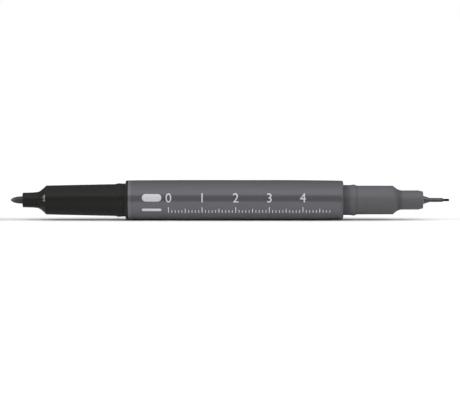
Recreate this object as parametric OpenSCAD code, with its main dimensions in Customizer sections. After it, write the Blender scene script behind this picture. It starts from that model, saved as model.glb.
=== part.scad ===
// Twin-tip permanent marker.
// A bullet nib stands in a black section at one end of a grey barrel, and a fine nib in a steel
// ferrule at the other. Each end has a push-on cap, drawn off and lying in line with its tip.
// The marker lies along X on the plane z = 0, with its bullet end towards -X. Millimetres.

/* [Barrel] */
// Length of the barrel between its two end faces
barrel_len = 64.25; // [50:0.25:90]
// Diameter of the straight middle of the barrel
barrel_d = 12; // [11.6:0.1:16]
// Length of the straight middle of the barrel
barrel_straight = 24; // [10:1:40]
// How much smaller the barrel's diameter is at its bullet end
bullet_end_drop = 0.2; // [0:0.05:0.5]
// How much smaller the barrel's diameter is at its fine end
fine_end_drop = 0.4; // [0:0.05:0.6]
// Wall of the barrel at its bullet end
barrel_wall = 1; // [0.8:0.05:1.2]
// Rounding of the barrel's outer edge at its fine end
fine_edge = 0.5; // [0.1:0.05:0.6]
// Radius of the soft edge at the barrel's bullet end
bullet_edge = 1; // [0.3:0.1:2]
// How far that soft edge drops towards the section's collar
bullet_edge_drop = 0.08; // [0.02:0.01:0.15]
// Thickness of the lip at the fine end, behind which the fine section's flange is held
barrel_lip = 1.2; // [0.8:0.1:3]
// Number of ribs that centre the ink reservoir in the barrel
rib_count = 4; // [3:1:8]
// Thickness of one of those ribs
rib_t = 0.8; // [0.5:0.1:1.2]

/* [Bullet section] */
// Length of the collar that covers the barrel's end
collar_len = 0.75; // [0.5:0.05:2]
// Length of the plug that is pressed into the barrel
plug_len = 9; // [5:0.5:15]
// From the collar to the edge of the shoulder
bullet_stem_len = 23.8; // [18:0.1:30]
// How much smaller the section's diameter is at the shoulder than at the bead
bullet_stem_taper = 0.86; // [0:0.02:1.2]
// Slope of the shoulder, in degrees from the marker's axis
bullet_slope = 42.5; // [36:0.5:50]
// Radius of the hollow at the foot of the shoulder
bullet_hollow = 2.4; // [1:0.1:3.4]
// Diameter of the nib sleeve at its root
bullet_sleeve_d = 4.74; // [4.2:0.02:5.4]
// How much smaller the sleeve's diameter is at its front
bullet_sleeve_taper = 0.16; // [0:0.02:0.3]
// Length of the nib sleeve in front of the shoulder
bullet_sleeve_len = 3.9; // [3.2:0.1:7]
// Height of the small step round the sleeve
sleeve_step = 0.08; // [0.02:0.01:0.12]
// Place of that step, from the foot of the shoulder
sleeve_step_at = 0.4; // [0.1:0.05:0.8]
// Height of the cone on the sleeve's front face
sleeve_nose = 0.2; // [0.05:0.05:0.5]
// Rounding of the sleeve's front edge
bullet_sleeve_edge = 0.15; // [0.05:0.05:0.4]
// How far the collar's radius lies below the barrel's end
collar_step = 0.03; // [0:0.01:0.1]
// Rounding of the collar's front edge
collar_edge = 0.3; // [0.1:0.05:0.4]
// Radius of the hollow between the collar and the section
root_hollow = 0.35; // [0.1:0.05:0.45]

/* [Bullet nib] */
// Diameter of the bullet nib
bullet_nib_d = 2.2; // [1.5:0.05:2.8]
// How far the bullet nib stands out of its sleeve
bullet_nib_out = 3.4; // [3:0.1:5]
// Length of the nib's pointed end
bullet_point_len = 3.18; // [1.5:0.02:3.4]
// How pointed a nib's end is; 1 is half an ellipse
nib_sharpness = 1.15; // [1:0.05:1.4]

/* [Fine section] */
// Length of the flange inside the barrel
fine_flange_len = 6; // [3:0.5:12]
// From the barrel's end to the edge of the shoulder
fine_stem_len = 14.9; // [10:0.1:20]
// How much smaller the section's diameter is at the shoulder than at the bead
fine_stem_taper = 0.04; // [0:0.02:0.4]
// Slope of the shoulder, in degrees from the marker's axis
fine_slope = 39; // [34:0.5:48]
// Radius of the hollow at the foot of the shoulder
fine_hollow = 3.1; // [1:0.1:3.6]
// Diameter of the ferrule sleeve
fine_sleeve_d = 5.75; // [5:0.05:6.5]
// Length of the ferrule sleeve in front of the shoulder
fine_sleeve_len = 6.15; // [5:0.05:9]
// Length of the taper on the sleeve's nose
fine_nose_len = 1.4; // [0.8:0.1:2.2]
// How far that taper narrows the sleeve's radius
fine_nose_drop = 0.26; // [0.05:0.01:0.4]
// Thickness of the sleeve's front wall round the ferrule
fine_front_wall = 0.8; // [0.4:0.1:1.5]
// Rounding of the sleeve's front edge
fine_sleeve_edge = 0.3; // [0.1:0.05:0.6]

/* [Both sections] */
// Wall of a section at its shoulder
section_wall = 1; // [0.7:0.05:1.2]
// How far a section's hollow stops short of its shoulder's edge
shoulder_wall = 0.6; // [0.2:0.1:2]
// Rounding of a shoulder's edge
shoulder_edge = 0.35; // [0.1:0.05:0.6]
// Lead-in on the part of a section that is pressed into the barrel
plug_lead = 0.4; // [0.1:0.05:0.8]

/* [Fine tip] */
// Diameter of the ferrule's tube
ferrule_d = 1.28; // [1:0.02:1.6]
// Diameter of the ferrule's cone at the sleeve's front face
ferrule_base_d = 2.6; // [1.8:0.05:2.8]
// Length of the ferrule's cone
ferrule_cone_len = 2; // [1:0.1:3]
// How far the ferrule stands out of the sleeve
ferrule_out = 5.95; // [4:0.05:9]
// Thickness of the flange that holds the ferrule in the sleeve
ferrule_flange_t = 0.5; // [0.3:0.05:1]
// Rounding of the ferrule's front rim
ferrule_rim = 0.12; // [0.04:0.01:0.18]
// Diameter of the bush that backs the ferrule
bush_d = 3.44; // [3:0.02:3.8]
// Thickness of the bush's head
bush_head_t = 0.8; // [0.4:0.1:2]
// How far the bush's head stands out round its shank
bush_head_step = 0.7; // [0.3:0.05:1.2]
// Diameter of the fine nib
fine_nib_d = 0.74; // [0.4:0.02:0.9]
// How far the fine nib stands out of the ferrule
fine_nib_out = 1.95; // [1:0.05:3]
// Length of the fine nib's rounded end
fine_point_len = 0.48; // [0.3:0.02:0.9]

/* [Ink reservoir] */
// Thickness of the film round the fibre core
film_t = 0.15; // [0.1:0.01:0.3]
// How far each nib's tail reaches into the core
nib_tail = 8; // [4:0.5:15]
// Free depth behind a nib's tail in the core
core_bore_gap = 0.3; // [0.1:0.1:1]

/* [Caps] */
// Wall of the bullet cap at its mouth
bullet_cap_wall = 0.77; // [0.6:0.01:1]
// Wall of the fine cap at its mouth
fine_cap_wall = 1.1; // [0.85:0.01:1.4]
// Thickness of each cap's closed end
cap_end_t = 1.2; // [0.8:0.1:2]
// How much smaller a cap's diameter is at its closed end
cap_taper = 0.5; // [0:0.05:0.8]
// Rounding of the closed end's edge
cap_edge = 1; // [0.3:0.1:1.2]
// Bevel on a cap's mouth, inside and outside
mouth_edge = 0.15; // [0.05:0.05:0.25]
// Depth of the snap groove in a cap's mouth
groove_depth = 0.1; // [0.05:0.01:0.2]
// How far a cap's wide mouth reaches past the bead
snap_margin = 0.5; // [0.2:0.1:2]
// Free room between the nib's point and the liner, with the cap on
tip_room = 0.7; // [0.3:0.1:3]
// How far a parked cap's mouth lies beyond the bullet point
cap_gap = 6.7; // [2:0.1:20]
// Wall of the liner that seals the tip
liner_wall = 0.5; // [0.3:0.05:0.8]
// How far the liner's rim stays in front of the shoulder's foot, with the cap on
liner_clear = 0.9; // [0.3:0.1:2]
// Number of fins that hold the liner in its cap
fin_count = 3; // [2:1:5]
// Thickness of one fin
fin_t = 0.8; // [0.4:0.1:1.2]
// Length of one fin
fin_len = 5; // [2:0.5:8]
// Angle that each vent slot takes up in the closed end
vent_angle = 60; // [20:5:70]
// Material left beside a vent slot, towards the liner and the cap's wall
vent_margin = 0.15; // [0.05:0.05:0.2]

/* [Snap beads] */
// Height of the bullet section's bead above the section
bullet_bead_h = 0.25; // [0.1:0.01:0.4]
// Height of the fine section's bead above the section
fine_bead_h = 0.32; // [0.1:0.01:0.45]
// Distance of the bullet section's bead from the collar
bullet_bead_at = 2.05; // [1.9:0.05:6]
// Distance of the fine section's bead from the barrel
fine_bead_at = 3.1; // [1.9:0.05:6]
// How far the section behind the bullet bead lies below the bead
bullet_root_drop = 0.08; // [0.02:0.01:0.2]
// How far the section behind the fine bead lies below the bead
fine_root_drop = 0.13; // [0.02:0.01:0.2]
// Length of a bead's slope towards the barrel
bead_back = 1.1; // [0.6:0.05:1.5]
// Length of a bead's slope towards the tip
bead_front = 1.15; // [0.6:0.05:1.6]
// Width of a bead's crest
bead_crest = 0.3; // [0.1:0.05:0.8]

/* [Clearances] */
// Radial gap between pieces that are pressed together
press_gap = 0.03; // [0.01:0.005:0.05]
// Radial gap between a cap's mouth and the bead
cap_play = 0.06; // [0.04:0.01:0.12]
// Gap between a cap's mouth and its stop, with the cap on
seat_gap = 0.15; // [0.05:0.05:0.5]
// Radial gap between a liner and the sleeve that it covers
liner_play = 0.08; // [0.04:0.01:0.15]
// Radial gap round the ink reservoir
reservoir_play = 0.1; // [0.05:0.01:0.3]
// Gap at each end of the ink reservoir
reservoir_end_gap = 0.4; // [0.1:0.1:2]

/* [Fineness] */
// Flats in a full turn of a round surface
facets = 96; // [48:8:160]
// Straight pieces in a rounded edge of an outline
arc_steps = 6; // [4:1:12]
// Straight pieces in a long curve of an outline
curve_steps = 10; // [6:1:20]

/* [Hidden] */

// Overlap that makes a cut clean
cut = 0.5;

// Barrel
axis_h = barrel_d / 2;
barrel_r = barrel_d / 2;
bullet_end_r = barrel_r - bullet_end_drop / 2;
fine_end_r = barrel_r - fine_end_drop / 2;
bore_r = bullet_end_r - barrel_wall;

// Bullet section, with u = 0 at the collar's front face and u growing towards the tip
collar_r = bullet_end_r - collar_step;
bullet_bead_r = collar_r - bullet_cap_wall - cap_play;
bullet_root_r = bullet_bead_r - bullet_root_drop;
bullet_stem_r = bullet_bead_r - bullet_bead_h;
bullet_shoulder_r = bullet_stem_r - bullet_stem_taper / 2;
bullet_sleeve_r = bullet_sleeve_d / 2;
bullet_front_r = bullet_sleeve_r - sleeve_step - bullet_sleeve_taper / 2;
bullet_foot = foot_of(bullet_stem_len, bullet_shoulder_r, bullet_sleeve_r, bullet_slope, bullet_hollow);
bullet_front = bullet_foot + bullet_sleeve_len;
bullet_cavity_r = bullet_shoulder_r - section_wall;
bullet_cavity_end = bullet_stem_len - shoulder_wall;
bullet_nib_r = bullet_nib_d / 2;
bullet_tip = bullet_front + sleeve_nose + bullet_nib_out;

// Fine section, with u = 0 at the barrel's end face and u growing towards the tip
fine_bead_r = fine_end_r - fine_cap_wall - cap_play;
fine_root_r = fine_bead_r - fine_root_drop;
fine_stem_r = fine_bead_r - fine_bead_h;
fine_shoulder_r = fine_stem_r - fine_stem_taper / 2;
fine_sleeve_r = fine_sleeve_d / 2;
fine_foot = foot_of(fine_stem_len, fine_shoulder_r, fine_sleeve_r, fine_slope, fine_hollow);
fine_front = fine_foot + fine_sleeve_len;
fine_cavity_r = fine_shoulder_r - section_wall;
fine_cavity_end = fine_stem_len - shoulder_wall;
fine_flange_end = -barrel_lip - fine_flange_len;
bush_bore_r = bush_d / 2 + press_gap;
bush_front = fine_front - fine_front_wall - ferrule_flange_t;
ferrule_end = fine_front + ferrule_out;
fine_nib_r = fine_nib_d / 2;
fine_nib_bore_r = fine_nib_r + press_gap;
fine_tip = ferrule_end + fine_nib_out;

// Ink reservoir, along the marker's own X
film_r = min(bullet_cavity_r, fine_cavity_r) - reservoir_play;
core_r = film_r - film_t;
bullet_base = -barrel_len / 2 - collar_len;
fine_base = barrel_len / 2;
reservoir_left = bullet_base - bullet_cavity_end + reservoir_end_gap;
reservoir_right = fine_base + fine_cavity_end - bush_head_t - reservoir_end_gap;

// Caps, with v = 0 at the mouth and v growing towards the closed end
bullet_cap_bore_r = bullet_bead_r + cap_play;
bullet_cap_inner_r = bullet_stem_r + 2 * cap_play;
bullet_liner_r = bullet_sleeve_r + liner_play;
bullet_cap_len = bullet_tip - seat_gap + tip_room + liner_wall + cap_end_t;
fine_cap_bore_r = fine_bead_r + cap_play;
fine_cap_inner_r = fine_stem_r + 2 * cap_play;
fine_liner_r = fine_sleeve_r + liner_play;
fine_cap_len = fine_tip - seat_gap + tip_room + liner_wall + cap_end_t;
// Both parked caps reach equally far from the middle of the barrel
cap_reach = max(-bullet_base + bullet_tip + cap_gap + bullet_cap_len,
    fine_base + fine_tip + cap_gap + fine_cap_len);
bullet_cap_travel = cap_reach + bullet_base - seat_gap - bullet_cap_len;
fine_cap_travel = cap_reach - fine_base - seat_gap - fine_cap_len;

// Points of an arc, in [radius, length] coordinates
function arc(centre, radius, from, to) =
    [for (i = [0:arc_steps]) let (a = from + (to - from) * i / arc_steps)
        centre + radius * [cos(a), sin(a)]];

// Points of a soft S from p to q
function ease(p, q) =
    [for (i = [0:arc_steps]) let (t = i / arc_steps, s = (1 - cos(180 * t)) / 2)
        [p[0] + (q[0] - p[0]) * s, p[1] + (q[1] - p[1]) * t]];

// Where the hollow below a shoulder runs out into its sleeve
function foot_of(stem_len, shoulder_r, sleeve_r, slope, hollow) =
    stem_len + (shoulder_r - sleeve_r) / tan(slope) + hollow * tan(slope / 2);

// A snap bead between the root behind it and the stem in front of it
function bead(root_r, bead_r, stem_r, at) = concat(
    ease([root_r, at - bead_back], [bead_r, at - bead_crest / 2]),
    ease([bead_r, at + bead_crest / 2], [stem_r, at + bead_front]));

// A rounded edge, a sloping shoulder and the hollow at its foot
function shoulder(stem_len, shoulder_r, sleeve_r, slope, hollow) =
    let (edge_centre = [shoulder_r - shoulder_edge, stem_len - shoulder_edge * tan(slope / 2)],
        foot = foot_of(stem_len, shoulder_r, sleeve_r, slope, hollow))
        concat(arc(edge_centre, shoulder_edge, 0, slope),
            arc([sleeve_r + hollow, foot], hollow, 180 + slope, 180));

// Radius of the crowned barrel at x: straight in the middle, falling away in a curve to each end
function barrel_radius(x) =
    let (past = max(0, abs(x) - barrel_straight / 2) / (barrel_len - barrel_straight) * 2)
        barrel_r - (x < 0 ? bullet_end_drop : fine_end_drop) / 2 * past * past;

// From the side of a nib to its point, a little sharper than half an ellipse
function point_curve(r, length, tip) =
    [for (i = [0:curve_steps]) let (a = 90 * i / curve_steps)
        [r * pow(cos(a), nib_sharpness), tip - length + length * sin(a)]];

// Turns an outline of [radius, length] points about the X axis
module turned(outline) {
    rotate([0, 90, 0]) rotate_extrude($fn = facets) polygon(outline);
}

module at_middle() {
    translate([0, 0, axis_h]) children();
}

module at_bullet_end() {
    translate([bullet_base, 0, axis_h]) mirror([1, 0, 0]) children();
}

module at_fine_end() {
    translate([fine_base, 0, axis_h]) children();
}

// The parked places of the two caps
module bullet_cap_place() {
    at_bullet_end() translate([seat_gap + bullet_cap_travel, 0, 0]) children();
}

module fine_cap_place() {
    at_fine_end() translate([seat_gap + fine_cap_travel, 0, 0]) children();
}

module barrel() {
    half = barrel_len / 2;
    soft_angle = acos(1 - bullet_edge_drop / bullet_edge);
    soft_len = bullet_edge * sin(soft_angle);
    left = -half + soft_len;
    right = half - fine_edge;
    straight = barrel_straight / 2;
    crown_left = [for (i = [0:curve_steps]) let (x = left + (-straight - left) * i / curve_steps)
        [barrel_radius(x), x]];
    crown_right = [for (i = [0:curve_steps]) let (x = straight + (right - straight) * i / curve_steps)
        [barrel_radius(x), x]];
    soft_edge = arc([barrel_radius(left) - bullet_edge, left], bullet_edge, -soft_angle, 0);
    round_edge = arc([barrel_radius(right) - fine_edge, right], fine_edge, 0, 90);
    lip_r = fine_root_r + press_gap;
    bore = [[lip_r, half], [lip_r, half - barrel_lip], [bore_r, half - barrel_lip], [bore_r, -half]];
    rib_left = -half + plug_len + reservoir_end_gap;
    rib_right = half + fine_flange_end - reservoir_end_gap;
    rib_in = film_r + reservoir_play;
    color([0.41, 0.41, 0.43]) at_middle() {
        turned(concat(soft_edge, crown_left, crown_right, round_edge, bore));
        for (i = [0:rib_count - 1])
            rotate([360 * i / rib_count, 0, 0])
                translate([rib_left, -rib_t / 2, rib_in])
                    cube([rib_right - rib_left, rib_t, bore_r + barrel_wall / 2 - rib_in]);
    }
}

module bullet_section() {
    plug_r = bore_r - press_gap;
    plug_end = -collar_len - plug_len;
    step_at = bullet_foot + sleeve_step_at;
    nib_bore_r = bullet_nib_r + press_gap;
    plug = [[bullet_cavity_r, plug_end], [plug_r - plug_lead, plug_end], [plug_r, plug_end + plug_lead],
        [plug_r, -collar_len]];
    collar = concat([[collar_r, -collar_len]],
        arc([collar_r - collar_edge, -collar_edge], collar_edge, 0, 90),
        arc([bullet_root_r + root_hollow, root_hollow], root_hollow, 270, 180));
    stem = concat(bead(bullet_root_r, bullet_bead_r, bullet_stem_r, bullet_bead_at),
        shoulder(bullet_stem_len, bullet_shoulder_r, bullet_sleeve_r, bullet_slope, bullet_hollow));
    sleeve = concat([[bullet_sleeve_r, step_at], [bullet_sleeve_r - sleeve_step, step_at]],
        arc([bullet_front_r, bullet_front] - [1, 1] * bullet_sleeve_edge, bullet_sleeve_edge, 0, 90),
        [[nib_bore_r, bullet_front + sleeve_nose]]);
    inside = [[nib_bore_r, bullet_cavity_end], [bullet_cavity_r, bullet_cavity_end]];
    color([0.19, 0.19, 0.18]) at_bullet_end() turned(concat(plug, collar, stem, sleeve, inside));
}

module bullet_nib() {
    tail_end = bullet_base - reservoir_left - nib_tail;
    point = point_curve(bullet_nib_r, bullet_point_len, bullet_tip);
    color([0.28, 0.28, 0.28]) at_bullet_end()
        turned(concat([[0, tail_end], [bullet_nib_r, tail_end]], point));
}

module fine_section() {
    flange_r = bore_r - press_gap;
    nose = fine_front - fine_nose_len;
    nose_r = fine_sleeve_r - fine_nose_drop;
    hole_r = ferrule_base_d / 2 + press_gap;
    inner_front = fine_front - fine_front_wall;
    flange = [[fine_cavity_r, fine_flange_end], [flange_r - plug_lead, fine_flange_end],
        [flange_r, fine_flange_end + plug_lead], [flange_r, -barrel_lip], [fine_root_r, -barrel_lip]];
    stem = concat(bead(fine_root_r, fine_bead_r, fine_stem_r, fine_bead_at),
        shoulder(fine_stem_len, fine_shoulder_r, fine_sleeve_r, fine_slope, fine_hollow));
    sleeve = concat([[fine_sleeve_r, nose]],
        arc([nose_r, fine_front] - [1, 1] * fine_sleeve_edge, fine_sleeve_edge, 0, 90));
    inside = [[hole_r, fine_front], [hole_r, inner_front], [bush_bore_r, inner_front],
        [bush_bore_r, fine_cavity_end], [fine_cavity_r, fine_cavity_end]];
    color([0.40, 0.40, 0.42]) at_fine_end() turned(concat(flange, stem, sleeve, inside));
}

module fine_tip_bush() {
    head_r = bush_d / 2 + bush_head_step;
    head_back = fine_cavity_end - bush_head_t;
    color([0.85, 0.85, 0.82]) at_fine_end()
        turned([[fine_nib_bore_r, head_back], [head_r, head_back], [head_r, fine_cavity_end],
            [bush_d / 2, fine_cavity_end], [bush_d / 2, bush_front], [fine_nib_bore_r, bush_front]]);
}

module fine_ferrule() {
    flange_front = bush_front + ferrule_flange_t;
    base_r = ferrule_base_d / 2;
    tube_r = ferrule_d / 2;
    color([0.75, 0.75, 0.76]) at_fine_end()
        turned(concat([[fine_nib_bore_r, bush_front], [bush_d / 2, bush_front],
            [bush_d / 2, flange_front], [base_r, flange_front], [base_r, fine_front],
            [tube_r, fine_front + ferrule_cone_len]],
            arc([tube_r, ferrule_end] - [1, 1] * ferrule_rim, ferrule_rim, 0, 90),
            [[fine_nib_bore_r, ferrule_end]]));
}

module fine_nib() {
    tail_end = reservoir_right - fine_base - nib_tail;
    point = point_curve(fine_nib_r, fine_point_len, fine_tip);
    color([0.08, 0.08, 0.08]) at_fine_end()
        turned(concat([[0, tail_end], [fine_nib_r, tail_end]], point));
}

module reservoir_core() {
    bullet_bore_r = bullet_nib_r + press_gap;
    bullet_bore_end = reservoir_left + nib_tail + core_bore_gap;
    fine_bore_end = reservoir_right - nib_tail - core_bore_gap;
    color([0.9, 0.9, 0.88]) at_middle()
        turned([[bullet_bore_r, reservoir_left], [core_r, reservoir_left], [core_r, reservoir_right],
            [fine_nib_bore_r, reservoir_right], [fine_nib_bore_r, fine_bore_end], [0, fine_bore_end],
            [0, bullet_bore_end], [bullet_bore_r, bullet_bore_end]]);
}

module reservoir_film() {
    color([0.95, 0.95, 0.95]) at_middle()
        turned([[core_r, reservoir_left], [film_r, reservoir_left], [film_r, reservoir_right],
            [core_r, reservoir_right]]);
}

// A push-on cap: outer shell with a snap groove in its mouth and vent slots in its closed end
module cap_shell(outer_r, mouth_r, inner_r, bead_at, length, liner_r) {
    end_r = outer_r - cap_taper / 2;
    snap_len = bead_at + bead_front + snap_margin;
    groove_half = bead_back / 2;
    inner_end = length - cap_end_t;
    vent_in = liner_r + liner_wall + vent_margin;
    vent_out = inner_r - vent_margin;
    outside = concat([[outer_r - mouth_edge, 0], [outer_r, mouth_edge]],
        arc([end_r, length] - [1, 1] * cap_edge, cap_edge, 0, 90), [[0, length]]);
    inside = [[0, inner_end], [inner_r, inner_end], [inner_r, snap_len], [mouth_r, snap_len],
        [mouth_r, bead_at + groove_half], [mouth_r + groove_depth, bead_at],
        [mouth_r, bead_at - groove_half], [mouth_r, mouth_edge], [mouth_r + mouth_edge, 0]];
    difference() {
        turned(concat(outside, inside));
        for (i = [0:fin_count - 1])
            rotate([360 * (i + 0.5) / fin_count - vent_angle / 2, 0, 0])
                translate([inner_end - cut, 0, 0])
                    rotate([0, 90, 0])
                        rotate_extrude(angle = vent_angle, $fn = facets)
                            translate([vent_in, 0]) square([vent_out - vent_in, cap_end_t + 2 * cut]);
    }
}

// The soft liner inside a cap: a closed cup over the tip, held by fins
module cap_liner(liner_r, inner_r, foot, length) {
    cup_r = liner_r + liner_wall;
    fin_r = inner_r - press_gap;
    cup_end = length - cap_end_t;
    start = foot + liner_clear - seat_gap;
    turned([[liner_r, start], [cup_r, start], [cup_r, cup_end], [0, cup_end], [0, cup_end - liner_wall],
        [liner_r, cup_end - liner_wall]]);
    intersection() {
        translate([cup_end - fin_len, 0, 0])
            rotate([0, 90, 0]) cylinder(r = fin_r, h = fin_len, $fn = facets);
        for (i = [0:fin_count - 1])
            rotate([360 * i / fin_count, 0, 0])
                translate([cup_end - fin_len, -fin_t / 2, liner_r + liner_wall / 2])
                    cube([fin_len, fin_t, fin_r - liner_r]);
    }
}

module bullet_cap() {
    color([0.16, 0.16, 0.16]) bullet_cap_place()
        cap_shell(collar_r, bullet_cap_bore_r, bullet_cap_inner_r, bullet_bead_at - seat_gap,
            bullet_cap_len, bullet_liner_r);
}

module bullet_cap_liner() {
    color([0.85, 0.85, 0.82]) bullet_cap_place()
        cap_liner(bullet_liner_r, bullet_cap_inner_r, bullet_foot, bullet_cap_len);
}

module fine_cap() {
    color([0.40, 0.40, 0.42]) fine_cap_place()
        cap_shell(fine_end_r, fine_cap_bore_r, fine_cap_inner_r, fine_bead_at - seat_gap, fine_cap_len,
            fine_liner_r);
}

module fine_cap_liner() {
    color([0.85, 0.85, 0.82]) fine_cap_place()
        cap_liner(fine_liner_r, fine_cap_inner_r, fine_foot, fine_cap_len);
}

barrel();
bullet_section();
bullet_nib();
fine_section();
fine_tip_bush();
fine_ferrule();
fine_nib();
reservoir_core();
reservoir_film();
bullet_cap();
bullet_cap_liner();
fine_cap();
fine_cap_liner();
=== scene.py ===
"""Looks of a twin-tip permanent marker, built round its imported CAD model.

The marker lies along X on a pale floor, with its bullet tip towards -X and its fine tip towards +X.
Its visible shells are turned again on a finer step, at the sizes of the CAD solids, and every piece
gets a procedural finish. Sizes are in millimetres, and outlines are (radius, length) points.
"""

import logging
import math
from collections.abc import Iterator
from contextlib import contextmanager
from dataclasses import dataclass
from enum import Enum
from functools import cache
from itertools import pairwise

import bpy
from mathutils import Color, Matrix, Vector


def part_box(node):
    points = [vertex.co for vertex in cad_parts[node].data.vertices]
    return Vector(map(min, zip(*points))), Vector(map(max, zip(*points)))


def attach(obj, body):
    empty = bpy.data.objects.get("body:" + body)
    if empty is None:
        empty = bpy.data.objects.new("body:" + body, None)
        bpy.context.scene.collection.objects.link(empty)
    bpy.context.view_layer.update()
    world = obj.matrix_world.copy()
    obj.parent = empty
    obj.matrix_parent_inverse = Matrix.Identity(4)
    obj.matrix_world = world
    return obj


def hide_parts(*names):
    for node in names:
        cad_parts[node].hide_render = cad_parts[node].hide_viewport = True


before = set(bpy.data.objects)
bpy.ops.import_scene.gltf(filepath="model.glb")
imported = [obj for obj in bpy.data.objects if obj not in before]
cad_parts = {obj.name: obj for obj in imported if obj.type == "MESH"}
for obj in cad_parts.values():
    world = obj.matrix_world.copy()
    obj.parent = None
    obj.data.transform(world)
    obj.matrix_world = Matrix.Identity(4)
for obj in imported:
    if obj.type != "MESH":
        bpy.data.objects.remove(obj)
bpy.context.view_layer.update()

LOG = logging.getLogger("marker")
MM = 0.001
CENTIMETRE = 10
SHADER = "Principled BSDF"

Point = tuple[float, float]
Outline = list[Point]
Colour = tuple[float, float, float, float]
Piece = bpy.types.Object
Socket = bpy.types.NodeSocket

BLACK: Colour = (0, 0, 0, 1)
WHITE: Colour = (1, 1, 1, 1)
# The turn that makes a plane face the front, and the way that the marker's axis runs
UPRIGHT = (math.pi / 2, 0, 0)
AXIS = (1, 0, 0)


class End(Enum):
    """The two ends of the marker, by the way that their lengths run along X."""

    BULLET = -1
    FINE = 1


class Side(Enum):
    """The two sides of the barrel that carry the print, by the way they face along Y."""

    FRONT = -1
    BACK = 1


class Body(Enum):
    """The bodies of the CAD model."""

    MARKER = "marker"
    BULLET_CAP = "bullet_cap"
    FINE_CAP = "fine_cap"


class Ease(Enum):
    """How a mapped value changes, by Blender's name for it."""

    SOFT = "SMOOTHSTEP"
    STRAIGHT = "LINEAR"


class Effect(Enum):
    """The effects that finishes share, each by the name of its node group."""

    GRAIN = "fine grain"
    HANDLING = "handling"
    # Bands of wear, and bands of painted highlight and painted shade
    WEAR = "wear"
    FIBRES = "fibres"


def srgb(red: int, green: int, blue: int) -> Colour:
    """A colour in display values from 0 to 255, as the linear colour that shaders take."""
    linear = Color((red / 255, green / 255, blue / 255)).from_srgb_to_scene_linear()
    return (*linear, 1.0)


# Outlines

ARC_STEPS = 10
NIB_STEPS = 30
NIB_SHARPNESS = 1.15


def even(steps: int) -> list[float]:
    """Even steps from 0 to 1, both included."""
    return [i / steps for i in range(steps + 1)]


def arc(centre: Point, radius: float, start: float, end: float) -> Outline:
    """Points of an arc; 0 degrees point away from the marker's axis, and 90 along it."""
    angles = [math.radians(start + (end - start) * t) for t in even(ARC_STEPS)]
    return [(centre[0] + radius * math.cos(a), centre[1] + radius * math.sin(a)) for a in angles]


def ease(first: Point, last: Point) -> Outline:
    """Points of a soft S that starts and ends level with the axis."""
    shares = [((1 - math.cos(math.pi * t)) / 2, t) for t in even(ARC_STEPS)]
    return [(first[0] + (last[0] - first[0]) * s, first[1] + (last[1] - first[1]) * t) for s, t in shares]


def nib_point(radius: float, length: float, tip: float) -> Outline:
    """A curve from the side of a nib to its point, a little sharper than half an ellipse.

    Args:
        radius: Radius of the nib.
        length: Length of the pointed end.
        tip: Where the point lies.

    Returns:
        The curve's points; the last one lies on the axis.
    """
    angles = [math.pi / 2 * t for t in even(NIB_STEPS)[:-1]]
    curve = [(radius * math.cos(a) ** NIB_SHARPNESS, tip - length + length * math.sin(a)) for a in angles]
    return curve + [(0.0, tip)]


def with_supports(outline: Outline, near: float = 0.04, longest: float = 1.6) -> Outline:
    """An outline whose long straight stretches have extra points, so that their shading stays even.

    Args:
        outline: The outline's points.
        near: How far a support point lies from each end of a long stretch.
        longest: The longest stretch that is left in one piece.

    Returns:
        The outline with its support points.
    """
    made = [outline[0]]
    for first, last in pairwise(outline):
        length = math.dist(first, last)
        shares = []
        if length > 4 * near:
            inner = max(1, math.ceil((length - 2 * near) / longest))
            shares = [(near + (length - 2 * near) * t) / length for t in even(inner)]
        made += [tuple(p + (q - p) * s for p, q in zip(first, last)) for s in shares]
        made.append(last)
    return made


def closed(outline: Outline) -> Outline:
    """The outline of a ring, brought back to its first point."""
    return outline + outline[:1]


# Modelling


def deselect() -> None:
    """Leaves object mode's selection empty."""
    bpy.ops.object.select_all(action="DESELECT")


def pick(*pieces: Piece) -> None:
    """Selects pieces alone.

    Args:
        *pieces: The pieces; the first one becomes active.
    """
    deselect()
    for piece in pieces:
        piece.select_set(True)
    bpy.context.view_layer.objects.active = pieces[0]


def new_plane(size: float = MM, **place: object) -> Piece:
    """Adds a square.

    Args:
        size: Length of its sides, in metres.
        **place: Its location and rotation, where it has them.

    Returns:
        The square, which is active and alone selected.
    """
    deselect()
    bpy.ops.mesh.primitive_plane_add(size=size, **place)
    return bpy.context.object


@contextmanager
def editing() -> Iterator[None]:
    """Edit mode for a block of lines, with the whole active mesh selected at its start."""
    bpy.ops.object.mode_set(mode="EDIT")
    bpy.ops.mesh.select_all(action="SELECT")
    yield
    bpy.ops.object.mode_set(mode="OBJECT")


def apply_modifiers(piece: Piece) -> None:
    """Applies all of a piece's modifiers, in their order.

    Args:
        piece: The piece.
    """
    pick(piece)
    for name in [m.name for m in piece.modifiers]:
        bpy.ops.object.modifier_apply(modifier=name)


def smooth(piece: Piece, angle: float = 32.0) -> None:
    """Shades a piece smooth, but for edges sharper than the angle in degrees."""
    pick(piece)
    bpy.ops.object.shade_smooth_by_angle(angle=math.radians(angle))


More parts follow.
